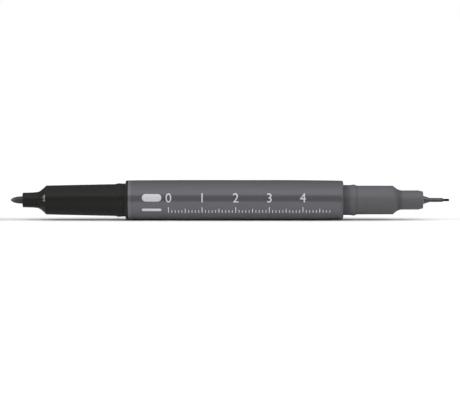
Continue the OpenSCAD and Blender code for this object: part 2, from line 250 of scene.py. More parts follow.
@dataclass(frozen=True)
class Lathe:
    """Turns outlines about the marker's axis."""

    axis_height: float  # Height of the axis above the floor
    steps: int = 160  # Flats in a full turn
    weld: float = 0.0002  # Points closer than this are merged

    @property
    def centre(self) -> Vector:
        """The axis above the origin, in metres."""
        return Vector((0, 0, self.axis_height * MM))

    def turn(self, name: str, outline: Outline, zero: float, end: End) -> Piece:
        """Turns one piece.

        Args:
            name: The piece's name.
            outline: Points that start and end on the axis, or that end where they start.
            zero: Where on X the outline's lengths start.
            end: The end of the marker that the lengths run towards.

        Returns:
            The closed piece, in its place.
        """
        places = [
            Vector(((zero + end.value * along) * MM, 0, radius * MM)) + self.centre
            for radius, along in with_supports(outline)
        ]
        piece = new_plane()
        piece.name = piece.data.name = name
        with editing():
            bpy.ops.mesh.merge(type="CENTER")
            bpy.ops.transform.translate(value=places[0])
            for before, after in pairwise(places):
                bpy.ops.mesh.extrude_region_move(TRANSFORM_OT_translate={"value": after - before})
            bpy.ops.mesh.select_all(action="SELECT")
            bpy.ops.mesh.spin(steps=self.steps, angle=math.tau, center=self.centre, axis=AXIS)
            bpy.ops.mesh.select_all(action="SELECT")
            bpy.ops.mesh.remove_doubles(threshold=self.weld * MM)
            bpy.ops.mesh.normals_make_consistent(inside=False)
        smooth(piece)
        return piece


# Shader wiring


class Wiring:
    """A node tree while it is being wired."""

    def __init__(self, tree: bpy.types.NodeTree) -> None:
        """Takes the tree that is wired."""
        self.tree = tree

    def add(self, kind: str, inputs: dict | None = None, **settings: object) -> bpy.types.Node:
        """Adds a node.

        Args:
            kind: Blender's name of the node, without its ShaderNode prefix.
            inputs: Values or sockets for the node's inputs, by name or number.
            **settings: Values for the node's own properties.

        Returns:
            The new node.
        """
        node = self.tree.nodes.new("ShaderNode" + kind)
        for name, value in settings.items():
            setattr(node, name, value)
        for key, value in (inputs or {}).items():
            self.feed(node.inputs[key], value)
        return node

    def feed(self, socket: Socket, value: object) -> None:
        """Links a socket to an input, or sets the input's plain value.

        Args:
            socket: The input.
            value: The socket or plain value that it gets.
        """
        if isinstance(value, Socket):
            self.tree.links.new(value, socket)
        else:
            socket.default_value = value

    def math(self, operation: str, *values: object) -> Socket:
        """The result of a Math node, whose inputs are numbers or sockets."""
        return self.add("Math", dict(enumerate(values)), operation=operation).outputs[0]

    def ramp(self, value: object, low: Point, high: Point, kind: Ease = Ease.SOFT) -> Socket:
        """A value mapped to another range and held at both ends, each given as (before, after)."""
        inputs = {0: value, 1: low[0], 2: high[0], 3: low[1], 4: high[1]}
        return self.add("MapRange", inputs, interpolation_type=kind.value).outputs[0]

    def curve(self, value: object, points: tuple[Point, ...]) -> Socket:
        """A value that follows straight stretches between points and is held at both ends.

        Args:
            value: The number or socket that is mapped.
            points: Points of the curve, by rising value, as (value, result).

        Returns:
            The result's socket.
        """
        total = points[0][1]
        for before, after in pairwise(points):
            rise = after[1] - before[1]
            step = self.ramp(value, (before[0], 0.0), (after[0], rise), Ease.STRAIGHT)
            total = self.math("ADD", step, total)
        return total

    def blend(self, share: object, first: object, second: object) -> Socket:
        """A value between two others, by the share of the second."""
        return self.add("Mix", {0: share, 2: first, 3: second}).outputs[0]

    def mix(self, share: object, first: object, second: object) -> Socket:
        """A colour between two others, by the share of the second."""
        return self.add("Mix", {0: share, 6: first, 7: second}, data_type="RGBA").outputs[2]

    def place(self, scale: tuple[float, float, float] = (1, 1, 1)) -> Socket:
        """Object coordinates, times factors along X, Y and Z."""
        spot = self.add("TexCoord").outputs["Object"]
        return self.add("Mapping", {"Vector": spot, "Scale": scale}).outputs[0]

    def noise(self, vector: object, scale: object, detail: float) -> Socket:
        """A noise from 0 to 1 that follows coordinates, with this many cells in a unit of them."""
        return self.add("TexNoise", {"Vector": vector, "Scale": scale, "Detail": detail}).outputs[0]

    def group(self, effect: Effect, inputs: dict) -> bpy.types.NodeOutputs:
        """The outputs of an effect that gets these inputs, by name or number."""
        return self.add("Group", inputs, node_tree=bpy.data.node_groups[effect.value]).outputs


# Cells of the shared noises in a metre, and factors that draw them out along X
PATCHES = 210.0
PATCH_SCALE = (1, 1.6, 1.6)
CLOUDS = 90.0
CLOUD_SCALE = (0.4, 1, 1)
RAGS = 1600.0
STRAND_SCALE = (0.06, 1, 1)
# A noise's middle, and the values between which a mask made from it rises
NOISE_MIDDLE = 0.5
NOISE_LOW = 0.3
NOISE_HIGH = 0.7
# The share of a band's half width that has the band's full colour
BAND_CORE = 0.15


def new_group(
    effect: Effect, inputs: list[str], outputs: list[str]
) -> tuple[Wiring, bpy.types.NodeOutputs, bpy.types.NodeInputs]:
    """Starts the node group of an effect, whose sockets are all numbers.

    Args:
        effect: The effect.
        inputs: Names of its inputs.
        outputs: Names of its outputs.

    Returns:
        The group's wiring, the sockets that bring its inputs, and those that take its results.
    """
    tree = bpy.data.node_groups.new(effect.value, "ShaderNodeTree")
    for label, way in [(i, "INPUT") for i in inputs] + [(o, "OUTPUT") for o in outputs]:
        tree.interface.new_socket(name=label, in_out=way, socket_type="NodeSocketFloat")
    entry = tree.nodes.new("NodeGroupInput")
    leave = tree.nodes.new("NodeGroupOutput")
    return Wiring(tree), entry.outputs, leave.inputs


def build_grain() -> None:
    """Builds the fine grain of a moulded or lacquered skin, as a height from 0 to 1."""
    wiring, given, made = new_group(Effect.GRAIN, ["Cells per metre"], ["Height"])
    wiring.feed(made["Height"], wiring.noise(wiring.place(), given["Cells per metre"], detail=3.0))


def build_handling() -> None:
    """Builds traces of hands: patches that are a little duller, and a slight change of tone."""
    wiring, given, made = new_group(Effect.HANDLING, ["Roughness", "Spread"], ["Roughness", "Tone"])
    patch = wiring.noise(wiring.place(PATCH_SCALE), PATCHES, detail=4.0)
    uneven = wiring.math("SUBTRACT", patch, NOISE_MIDDLE)
    rubbed = wiring.math("MULTIPLY_ADD", uneven, given["Spread"], given["Roughness"])
    wiring.feed(made["Roughness"], rubbed)
    cloud = wiring.noise(wiring.place(CLOUD_SCALE), CLOUDS, detail=3.0)
    wiring.feed(made["Tone"], wiring.ramp(cloud, (NOISE_LOW, 0.0), (NOISE_HIGH, 1.0)))


def build_wear() -> None:
    """Builds a band that lies across X, as a mask from 0 to 1, for wear and for painted highlight and
    painted shade.
    """
    wiring, given, made = new_group(Effect.WEAR, ["Middle", "Half width", "Ragged"], ["Mask"])
    spot = wiring.place()
    along = wiring.add("SeparateXYZ", {"Vector": spot}).outputs[0]
    away = wiring.math("ABSOLUTE", wiring.math("SUBTRACT", along, given["Middle"]))
    share = wiring.math("DIVIDE", away, given["Half width"])
    uneven = wiring.math("SUBTRACT", wiring.noise(spot, RAGS, detail=4.0), NOISE_MIDDLE)
    edge = wiring.math("MULTIPLY_ADD", uneven, given["Ragged"], share)
    wiring.feed(made["Mask"], wiring.ramp(edge, (BAND_CORE, 1.0), (1.0, 0.0)))


def build_fibres() -> None:
    """Builds bundles of fibres that run along X, as a height from 0 to 1."""
    wiring, given, made = new_group(Effect.FIBRES, ["Fibres per metre"], ["Height"])
    strands = wiring.noise(wiring.place(STRAND_SCALE), given["Fibres per metre"], detail=3.0)
    wiring.feed(made["Height"], wiring.ramp(strands, (NOISE_LOW, 0.0), (NOISE_HIGH, 1.0)))


# Finishes


class Coat(Wiring):
    """A material while it is being wired."""

    def __init__(self, name: str) -> None:
        """Starts a material.

        Args:
            name: Its name.
        """
        self.material = bpy.data.materials.new(name)
        self.material.use_nodes = True
        super().__init__(self.material.node_tree)

    def fill(self, values: dict[str, object]) -> None:
        """Feeds the shader's inputs, by their names, with sockets or plain values."""
        for name, value in values.items():
            self.feed(self.tree.nodes[SHADER].inputs[name], value)


@dataclass(frozen=True)
class Band:
    """A band of another colour round a piece, for wear and for painted highlights and painted shade."""

    middle: float  # Its middle on X
    half_width: float  # How far it reaches to each side
    colour: Colour
    ragged: float = 0.9  # How uneven its borders are, from 0 to 1

    def mask(self, coat: Coat) -> Socket:
        """The band's mask, from 0 to 1."""
        inputs = {"Middle": self.middle * MM, "Half width": self.half_width * MM, "Ragged": self.ragged}
        return coat.group(Effect.WEAR, inputs)["Mask"]


@dataclass(frozen=True)
class Finish:
    """What every finish has."""

    name: str
    colour: Colour
    roughness: float  # Its mean roughness, or that of its main colour
    specular: float = 0.5
    cell: float = 0.12  # Width of a cell of its texture
    relief: float = 0.002  # Depth of that texture
    spread: float = 0.12  # How far the roughness changes
    tone: float = 0.08  # How much darker the colour gets in clouds, as a share
    bands: tuple[Band, ...] = ()

    def wire(self, coat: Coat) -> None:
        """Adds the finish's own nodes; each kind of finish has its own."""
        raise NotImplementedError

    def texture(self, coat: Coat, effect: Effect) -> Socket:
        """Puts the finish's texture on the surface.

        Args:
            coat: The material.
            effect: The effect that it follows, which is grain or fibres.

        Returns:
            The texture's height, from 0 to 1.
        """
        height = coat.group(effect, {0: 1 / (self.cell * MM)})["Height"]
        bump = coat.add("Bump", {"Height": height, "Distance": self.relief * MM, "Strength": 1.0})
        coat.fill({"Normal": bump.outputs[0]})
        return height

    def handle(self, coat: Coat) -> Socket:
        """Wires a roughness with traces of hands.

        Args:
            coat: The material.

        Returns:
            A mask of clouds, from 0 to 1.
        """
        hands = coat.group(Effect.HANDLING, {"Roughness": self.roughness, "Spread": self.spread})
        coat.fill({"Roughness": hands["Roughness"]})
        return hands["Tone"]

    def tint(self, coat: Coat, share: Socket, other: Colour) -> None:
        """Wires the colour, with the bands on top.

        Args:
            coat: The material.
            share: How much of the other colour there is.
            other: The colour that is mixed with the main one.
        """
        colour = coat.mix(share, self.colour, other)
        for band in self.bands:
            colour = coat.mix(band.mask(coat), colour, band.colour)
        coat.fill({"Base Color": colour})

    def roughen(self, coat: Coat, share: Socket, other: float) -> None:
        """Wires a roughness that runs from the main one to another one with the share."""
        coat.fill({"Roughness": coat.ramp(share, (0.0, self.roughness), (1.0, other))})


@dataclass(frozen=True)
class Moulded(Finish):
    """Moulded or lacquered plastic with a fine grain, traces of hands, and bands of wear, painted highlight
    and painted shade.
    """

    def wire(self, coat: Coat) -> None:
        """Wires handling, bands and grain.

        Args:
            coat: The material.
        """
        darker = tuple(c * (1 - self.tone) for c in self.colour[:3]) + (1.0,)
        self.tint(coat, self.handle(coat), darker)
        self.texture(coat, Effect.GRAIN)


@dataclass(frozen=True)
class Waxy(Moulded):
    """Uncoloured soft plastic that lets a little light in."""

    cell: float = 0.25
    relief: float = 0.003
    spread: float = 0.1
    tone: float = 0.1
    inner_light: float = 0.3  # How much of its light comes from inside, as a share
    depth: float = 0.6  # How deep light goes

    def wire(self, coat: Coat) -> None:
        """Wires light inside the plastic, which goes equally deep in all colours, and the rest.

        Args:
            coat: The material.
        """
        coat.fill({"Subsurface Weight": self.inner_light, "Subsurface Radius": (1, 1, 1)})
        coat.fill({"Subsurface Scale": self.depth * MM})
        super().wire(coat)


@dataclass(frozen=True)
class Fibrous(Finish):
    """Bonded fibres soaked with ink, paler between the bundles and towards a worn point."""

    cell: float = 0.2
    relief: float = 0.02
    pale: Colour = WHITE  # The colour between the bundles
    pale_share: float = 0.6  # How much of that colour there is where it is strongest
    pale_roughness: float = 0.55  # The roughness between the bundles

    def wire(self, coat: Coat) -> None:
        """Wires the bundles and the worn bands.

        Args:
            coat: The material.
        """
        height = self.texture(coat, Effect.FIBRES)
        self.tint(coat, coat.math("MULTIPLY", height, self.pale_share), self.pale)
        self.roughen(coat, height, self.pale_roughness)


@dataclass(frozen=True)
class DrawnSteel(Finish):
    """Bright steel, drawn to a tube, with fine lines along it."""

    cell: float = 0.05
    relief: float = 0.0015
    spread: float = 0.15
    tarnish: Colour = BLACK  # The colour of slightly dulled patches

    def wire(self, coat: Coat) -> None:
        """Wires the drawing lines and dulled patches.

        Args:
            coat: The material.
        """
        coat.fill({"Metallic": 1.0})
        dull = coat.math("MULTIPLY", self.handle(coat), self.texture(coat, Effect.FIBRES))
        self.tint(coat, dull, self.tarnish)


@dataclass(frozen=True)
class ClearFilm(Finish):
    """Thin clear film with long creases."""

    cell: float = 1.5
    relief: float = 0.02
    clearness: float = 0.8  # How much light goes through, as a share
    crease_roughness: float = 0.3  # The roughness on the creases

    def wire(self, coat: Coat) -> None:
        """Wires the film's clearness and creases."""
        coat.fill({"Transmission Weight": self.clearness})
        self.roughen(coat, self.texture(coat, Effect.FIBRES), self.crease_roughness)


@dataclass(frozen=True)
class SilverInk(Finish):
    """Printed silver ink with fine flakes."""

    cell: float = 0.06
    spread: float = 0.15
    metallic: float = 0.35  # How metallic it is, from 0 to 1
    dark_flake: Colour = BLACK  # The colour of flakes that lie turned away
    bright_height: float = 0.35  # The grain's height up to which a flake is bright
    dark_height: float = 0.75  # The grain's height from which it is dark

    def wire(self, coat: Coat) -> None:
        """Wires the flakes.

        Args:
            coat: The material.
        """
        coat.fill({"Metallic": self.metallic})
        height = self.texture(coat, Effect.GRAIN)
        turned = coat.ramp(height, (self.bright_height, 0.0), (self.dark_height, 1.0))
        self.tint(coat, turned, self.dark_flake)
        self.roughen(coat, turned, self.roughness + self.spread)


@cache
def material_of(finish: Finish) -> bpy.types.Material:
    """The material of a finish, made when it is first asked for.

    Args:
        finish: The finish.

    Returns:
        Its material, wired.
    """
    coat = Coat(finish.name)
    coat.material.diffuse_color = finish.colour
    coat.fill({"Base Color": finish.colour, "Roughness": finish.roughness})
    coat.fill({"Specular IOR Level": finish.specular})
    finish.wire(coat)
    return coat.material


def dressed(piece: Piece, finish: Finish) -> Piece:
    """Gives a piece one finish all over.

    Args:
        piece: A new piece, or a CAD node.
        finish: Its finish.

    Returns:
        The piece.
    """
    piece.data.materials.clear()
    piece.data.materials.append(material_of(finish))
    return piece


def hand_over(piece: Piece, body: Body, slot: str | None, *nodes: str) -> None:
    """Ties a finished piece to the CAD model and reports it.

    Args:
        piece: The piece.
        body: The CAD body that it moves with.
        slot: The record's material slot that matches its finish, if it has one; not used.
        *nodes: The CAD nodes that it stands for.
    """
    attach(piece, body.value)
    if nodes:
        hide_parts(*nodes)
    LOG.info("%s: %d faces, on %s", piece.name, len(piece.data.polygons), body.value)


def keep_node(name: str, finish: Finish) -> None:
    """Gives a CAD node that stays in view a better finish, and reports it."""
    dressed(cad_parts[name], finish)
    LOG.info("%s: CAD node, %s", name, finish.name)


# The marker


@dataclass(frozen=True)
class Fits:
    """Clearances and sizes that more than one piece needs."""

    press: float = 0.03  # Radial gap between pressed pieces
    cap_play: float = 0.06  # Radial gap between a cap's mouth and the bead
    seat: float = 0.15  # Gap between a cap's mouth and its stop, with the cap on
    liner_play: float = 0.08  # Radial gap between a liner and its sleeve
    bead_back: float = 1.1  # Length of a bead's slope towards the barrel
    bead_front: float = 1.15  # Length of a bead's slope towards the tip
    bead_crest: float = 0.3
    shoulder_edge: float = 0.35
    shoulder_sag: float = 3.0  # How much steeper a shoulder starts and flatter it ends, in degrees
    plug_lead: float = 0.4  # Lead-in of a pressed plug
    bore_r: float = 4.9
    lip: float = 1.2  # Thickness of the barrel's lip that holds the fine section


@dataclass(frozen=True)
class Barrel:
    """The crowned grey tube between the two sections."""

    lathe: Lathe
    fits: Fits
    left: float  # Its bullet end on X
    right: float  # Its fine end on X
    radius: float  # Radius of its straight middle
    straight: float = 24.0  # Length of that middle
    bullet_drop: float = 0.2  # How much smaller its diameter is at the bullet end
    fine_drop: float = 0.4  # How much smaller its diameter is at the fine end
    fine_edge: float = 0.5  # Rounding of its edge at the fine end
    bullet_edge: float = 1.0  # Radius of the soft edge at the bullet end
    bullet_edge_drop: float = 0.08  # How far that soft edge drops
    lip_r: float = 4.54  # Inner radius of the lip that holds the fine section
    crown_steps: int = 24  # Steps along each crowned stretch
    worn_at: float = 0.2  # Middle of the painted highlight band along the soft edge at the bullet end, from that end

    def radius_at(self, x: float) -> float:
        """Radius of the crowned barrel at a place on X."""
        past = max(0.0, 2 * abs(x) - self.straight) / (self.right - self.left - self.straight)
        return self.radius - (self.bullet_drop if x < 0 else self.fine_drop) / 2 * past * past

    def crown(self, start: float, end: float) -> Outline:
        """The crowned stretch between two places on X."""
        places = [start + (end - start) * t for t in even(self.crown_steps)]
        return [(self.radius_at(x), x) for x in places]

    def tube(self) -> Piece:
        """Turns the barrel and dresses it.

        Returns:
            The barrel.
        """
        soft = math.degrees(math.acos(1 - self.bullet_edge_drop / self.bullet_edge))
        start = self.left + self.bullet_edge * math.sin(math.radians(soft))
        end = self.right - self.fine_edge
        half = self.straight / 2
        soft_edge = arc((self.radius_at(start) - self.bullet_edge, start), self.bullet_edge, -soft, 0)
        round_edge = arc((self.radius_at(end) - self.fine_edge, end), self.fine_edge, 0, 90)
        outside = soft_edge + self.crown(start, -half)[1:] + self.crown(half, end)[:-1] + round_edge
        lip_back = self.right - self.fits.lip
        inside = [
            (self.lip_r, self.right), (self.lip_r, lip_back), (self.fits.bore_r, lip_back),
            (self.fits.bore_r, self.left),
        ]
        tube = self.lathe.turn("barrel_tube", closed(outside + inside), 0.0, End.FINE)
        return dressed(tube, self.lacquer())

    def lacquer(self) -> Moulded:
        """The barrel's grey lacquer, with a painted highlight along its soft edge at the bullet end."""
        # Painted highlight: a paler band along the soft edge at the bullet end
        worn = Band(self.left + self.worn_at, half_width=1.0, colour=srgb(93, 93, 92), ragged=0.2)
        return Moulded(
            "barrel lacquer", srgb(77, 76, 82), roughness=0.2, specular=0.75, spread=0.06, tone=0.04,
            cell=0.35, relief=0.0012, bands=(worn,),
        )


@dataclass(frozen=True)
class BarrelPrint:
    """Generic silver print: a key of the two line widths and a centimetre scale."""

    barrel: Piece
    axis_height: float  # Height of the marker's axis
    scale_start: float = -20.0  # Place of the scale's zero on X
    scale_length: int = 48
    tick_foot: float = -3.5  # Height of the ticks' feet above the axis
    tick_heights: tuple[float, float, float] = (0.8, 1.2, 1.7)  # At each 1, 5 and 10 mm
    tick_width: float = 0.24
    figure_height: float = 2.7
    figure_foot: float = -0.35  # Height of the figures' feet above the axis
    figure_steps: int = 6  # Steps along each curve of a figure
    key_place: float = -25.0  # Middle of the line-width key on X
    key_length: float = 5.8
    key_heights: tuple[float, float] = (1.0, -2.6)  # Of its wide and narrow line
    key_widths: tuple[float, float] = (2.2, 0.74)
    key_rounding: float = 0.499  # Rounding of the lines' ends, as a share of their width
    key_steps: int = 8  # Steps along each rounding
    lift: float = 0.004  # Gap between the print and the barrel
    thickness: float = 0.016
    clear: float = 8.0  # How far from the axis the flat print lies before it is laid on the barrel
    strip: float = 0.3  # Width of the strips that let it bend
    weld: float = 0.0001  # Points closer than this are merged

    def at(self, x: float, height: float) -> Vector:
        """A place in front of the barrel, in metres, from X and the height above the axis."""
        return Vector((x, -self.clear, self.axis_height + height)) * MM

    def plate(self, x: float, height: float, size: Point) -> None:
        """Adds a flat plate to the mesh in edit mode, facing the front.

        Args:
            x: Its middle on X.
            height: Its middle's height above the axis.
            size: Its width and height.
        """
        middle = self.at(x, height)
        bpy.ops.mesh.primitive_plane_add(size=MM, location=middle, rotation=UPRIGHT)
        bpy.ops.transform.resize(value=(size[0], 1, size[1]), center_override=middle)

    def ticks_and_key(self) -> Piece:
        """Models the scale's ticks and the key's lines.

        Returns:
            Flat plates, facing the front.
        """
        sheet = new_plane()
        with editing():
            bpy.ops.mesh.delete(type="VERT")
            for i in range(self.scale_length + 1):
                tall = self.tick_heights[(i % (CENTIMETRE // 2) == 0) + (i % CENTIMETRE == 0)]
                self.plate(self.scale_start + i, self.tick_foot + tall / 2, (self.tick_width, tall))
            for height, width in zip(self.key_heights, self.key_widths):
                self.plate(self.key_place, height, (self.key_length, width))
                rounding = self.key_rounding * width * MM
                bpy.ops.mesh.bevel(offset=rounding, segments=self.key_steps, affect="VERTICES")
        return sheet

    def figure(self, number: int) -> Piece:
        """Models one figure of the scale as a flat plate.

        Args:
            number: The centimetre that it names.

        Returns:
            The figure, facing the front.
        """
        deselect()
        bpy.ops.object.text_add()
        figure = bpy.context.object
        figure.data.body = str(number)
        figure.data.align_x = "CENTER"
        figure.data.resolution_u = self.figure_steps
        bpy.ops.object.convert(target="MESH")
        tall = figure.dimensions.y
        figure.scale = (self.figure_height * MM / tall,) * 3
        figure.rotation_euler = UPRIGHT
        figure.location = self.at(self.scale_start + CENTIMETRE * number, self.figure_foot)
        bpy.ops.object.transform_apply()
        return figure

    def flat(self) -> Piece:
        """Joins the flat print and cuts it into strips that can bend.

        Returns:
            The flat print.
        """
        sheet = self.ticks_and_key()
        figures = [self.figure(number) for number in range(self.scale_length // CENTIMETRE + 1)]
        pick(sheet, *figures)
        bpy.ops.object.join()
        with editing():
            bpy.ops.mesh.remove_doubles(threshold=self.weld * MM)
            strips = math.floor(self.clear / self.strip)
            for i in range(-strips, strips + 1):
                bpy.ops.mesh.select_all(action="SELECT")
                bpy.ops.mesh.bisect(plane_co=self.at(0, i * self.strip), plane_no=(0, 0, 1))
        return sheet

    def wrap(self, sheet: Piece, side: Side) -> Piece:
        """Lays the flat print on the barrel and dresses it.

        Args:
            sheet: The flat print, in front of its side of the barrel.
            side: That side.

        Returns:
            The print, with the ink's thickness.
        """
        sheet.name = sheet.data.name = f"barrel_print_{side.name.lower()}"
        shrink = sheet.modifiers.new("lay", "SHRINKWRAP")
        shrink.target = self.barrel
        shrink.wrap_method = "PROJECT"
        shrink.use_project_y = True
        shrink.use_positive_direction = side is Side.FRONT
        shrink.use_negative_direction = side is Side.BACK
        shrink.offset = self.lift * MM
        solid = sheet.modifiers.new("ink", "SOLIDIFY")
        solid.thickness = self.thickness * MM
        solid.offset = 1.0
        apply_modifiers(sheet)
        smooth(sheet)
        return dressed(sheet, self.ink())

    def sheets(self) -> list[Piece]:
        """Models the print of both sides and dresses it.

        Returns:
            The two prints, front first.
        """
        front = self.flat()
        pick(front)
        bpy.ops.object.duplicate()
        back = bpy.context.object
        back.rotation_euler = (0, 0, math.pi)
        bpy.ops.object.transform_apply()
        return [self.wrap(front, Side.FRONT), self.wrap(back, Side.BACK)]

    def ink(self) -> SilverInk:
        """The print's silver ink."""
        return SilverInk("silver ink", srgb(214, 216, 219), roughness=0.42, dark_flake=srgb(172, 173, 176))


@dataclass(frozen=True)
class TipEnd:
    """What both ends have: a section with a snap bead, a shoulder and a sleeve, and a nib in it."""

    lathe: Lathe
    fits: Fits
    barrel_end: float  # The barrel's end on X
    end: End
    plug_len: float  # Length of the plug inside the barrel, behind its stop
    bead_at: float  # Where the bead's crest lies
    bead_r: float  # Radius of that crest
    root_r: float  # Radius of the section behind the bead
    stem_r: float  # Radius of the section in front of the bead
    shoulder_r: float  # Radius of the section at the shoulder
    slope: float  # Mean slope of the shoulder in degrees from the axis
    hollow: float  # Radius of the hollow at the shoulder's foot
    stem_len: float  # Where the shoulder would start if its edge were sharp and its slope straight
    sleeve_r: float  # Radius of the sleeve in front of the shoulder
    sleeve_len: float
    front_edge: float  # Rounding of the sleeve's front edge
    holder_out: float  # How far the nose or the ferrule stands out of the sleeve
    nib_r: float
    nib_out: float
    nib_point_len: float
    collar_len: float = 0.0  # Length of the collar between the barrel and the section
    wall: float = 1.0  # How much smaller the hollow inside is than the shoulder's radius
    shoulder_wall: float = 0.6  # How far that hollow ends behind the shoulder

    @property
    def foot(self) -> float:
        """Where the shoulder's hollow runs out into the sleeve.

        Returns:
            Its length in front of the section's start.
        """
        slope = math.radians(self.slope)
        rise = (self.shoulder_r - self.sleeve_r) / math.tan(slope)
        return self.stem_len + rise + self.hollow * math.tan(slope / 2)

    @property
    def front(self) -> float:
        """Where the sleeve's front face lies."""
        return self.foot + self.sleeve_len

    @property
    def nib_start(self) -> float:
        """Where the nib comes out of the nose or the ferrule."""
        return self.front + self.holder_out

    @property
    def tip(self) -> float:
        """Where the nib's point lies."""
        return self.nib_start + self.nib_out

    @property
    def cavity_r(self) -> float:
        """Radius of the section's hollow inside."""
        return self.shoulder_r - self.wall

    @property
    def cavity_end(self) -> float:
        """Where that hollow ends."""
        return self.stem_len - self.shoulder_wall

    def on_x(self, along: float) -> float:
        """A place on X, from a length in front of the collar or the barrel's end."""
        return self.barrel_end + self.end.value * (self.collar_len + along)

    def turn(self, name: str, outline: Outline) -> Piece:
        """Turns a piece of this end."""
        return self.lathe.turn(name, outline, self.on_x(0.0), self.end)

    def plug(self, stop: float, stop_r: float) -> Outline:
        """The plug inside the barrel.

        Args:
            stop: Where the face lies that stops it.
            stop_r: The radius that this face leads to.

        Returns:
            The plug's outline, from the hollow inside.
        """
        plug_r = self.fits.bore_r - self.fits.press
        back = stop - self.plug_len
        return [
            (self.cavity_r, back), (plug_r - self.fits.plug_lead, back),
            (plug_r, back + self.fits.plug_lead), (plug_r, stop), (stop_r, stop),
        ]

    def bead(self) -> Outline:
        """The snap bead.

        Returns:
            The bead's outline.
        """
        half = self.fits.bead_crest / 2
        back = ease((self.root_r, self.bead_at - self.fits.bead_back), (self.bead_r, self.bead_at - half))
        front = ease((self.bead_r, self.bead_at + half), (self.stem_r, self.bead_at + self.fits.bead_front))
        return back + front

    def shoulder(self) -> Outline:
        """A rounded edge, a slope that flattens a little towards the tip, and the hollow at its foot.

        Returns:
            The shoulder's outline.
        """
        edge = self.fits.shoulder_edge
        first = self.slope + self.fits.shoulder_sag
        last = self.slope - self.fits.shoulder_sag
        steep = math.radians(first)
        flat = math.radians(last)
        slope_top = self.shoulder_r - edge * (1 - math.cos(steep))
        slope_foot = self.sleeve_r + self.hollow * (1 - math.cos(flat))
        slope_r = (slope_top - slope_foot) / (math.cos(flat) - math.cos(steep))
        hollow_start = self.foot - self.hollow * math.sin(flat)
        slope_start = hollow_start - slope_r * (math.sin(steep) - math.sin(flat))
        edge_centre = (self.shoulder_r - edge, slope_start - edge * math.sin(steep))
        slope_centre = (slope_top + slope_r * math.cos(steep), slope_start + slope_r * math.sin(steep))
        hollow_centre = (self.sleeve_r + self.hollow, self.foot)
        middle = arc(slope_centre, slope_r, 180 + first, 180 + last)[1:-1]
        return arc(edge_centre, edge, 0, first) + middle + arc(hollow_centre, self.hollow, 180 + last, 180)

    def edge(self, radius: float) -> Outline:
        """The rounded front edge of a sleeve with this radius at its front."""
        centre = (radius - self.front_edge, self.front - self.front_edge)
        return arc(centre, self.front_edge, 0, 90)

    def turn_nib(self, name: str, back: float) -> Piece:
        """Turns the nib.

        Args:
            name: The nib's name.
            back: Place of its hidden end on X, in metres.

        Returns:
            The nib.
        """
        tail = self.end.value * (back / MM - self.on_x(0.0))
        point = nib_point(self.nib_r, self.nib_point_len, self.tip)
        return self.turn(name, [(0.0, tail), (self.nib_r, tail)] + point)


@dataclass(frozen=True)
class BulletEnd(TipEnd):
    """The black section with its collar, bead, shoulder and sleeve, and the fibre nib in it."""

    end: End = End.BULLET
    plug_len: float = 9.0
    bead_at: float = 2.05
    bead_r: float = 5.04
    root_r: float = 4.96
    stem_r: float = 4.79
    shoulder_r: float = 4.36
    slope: float = 42.5
    hollow: float = 2.4
    stem_len: float = 23.8
    sleeve_r: float = 2.37
    sleeve_len: float = 3.9
    front_edge: float = 0.15
    holder_out: float = 0.2
    nib_r: float = 1.1
    nib_out: float = 3.4
    nib_point_len: float = 3.18
    collar_len: float = 0.75
    collar_r: float = 5.87
    collar_edge: float = 0.3
    root_hollow: float = 0.35  # Radius of the hollow between the collar and the section
    step: float = 0.08  # Height of the small step down on the sleeve
    step_at: float = 0.4  # Where that step lies, from the shoulder's foot
    front_r: float = 2.21  # Radius of the sleeve at its front

    def section(self) -> Piece:
        """Turns the black section and dresses it.

        Returns:
            The section.
        """
        nib_bore_r = self.nib_r + self.fits.press
        step_at = self.foot + self.step_at
        plug = self.plug(-self.collar_len, self.collar_r)
        collar = arc((self.collar_r - self.collar_edge, -self.collar_edge), self.collar_edge, 0, 90)
        root = arc((self.root_r + self.root_hollow, self.root_hollow), self.root_hollow, 270, 180)
        step = [(self.sleeve_r, step_at), (self.sleeve_r - self.step, step_at + self.step)]
        inside = [
            (nib_bore_r, self.nib_start), (nib_bore_r, self.cavity_end), (self.cavity_r, self.cavity_end),
        ]
        outside = plug + collar + root + self.bead() + self.shoulder() + step + self.edge(self.front_r)
        return dressed(self.turn("bullet_section_shell", closed(outside + inside)), self.plastic())

    def nib(self) -> Piece:
        """Turns the bullet nib and dresses it."""
        return dressed(self.turn_nib("bullet_nib_point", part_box("bullet_nib")[1].x), self.fibre())

    def plastic(self) -> Moulded:
        """The section's black plastic.

        Returns:
            The finish, pale at the collar's edge and at the nose.
        """
        # Painted highlights: paler bands at the collar's edge and round the nose
        collar_highlight = Band(self.on_x(0.0), half_width=0.3, colour=srgb(44, 44, 43))
        nose_highlight = Band(self.on_x(self.nib_start), half_width=0.35, colour=srgb(92, 92, 91), ragged=0.4)
        return Moulded(
            "black plastic", srgb(37, 37, 35), roughness=0.1, specular=0.13, spread=0.03, tone=0.1,
            cell=0.2, relief=0.001, bands=(collar_highlight, nose_highlight),
        )

    def fibre(self) -> Fibrous:
        """The nib's inked fibre, worn at its point."""
        worn = Band(self.on_x(self.tip), half_width=1.4, colour=srgb(70, 70, 70), ragged=0.6)
        return Fibrous(
            "nib fibre", srgb(41, 41, 42), roughness=0.35, specular=0.6, pale=srgb(52, 52, 52), cell=0.16,
            relief=0.03, bands=(worn,),
        )


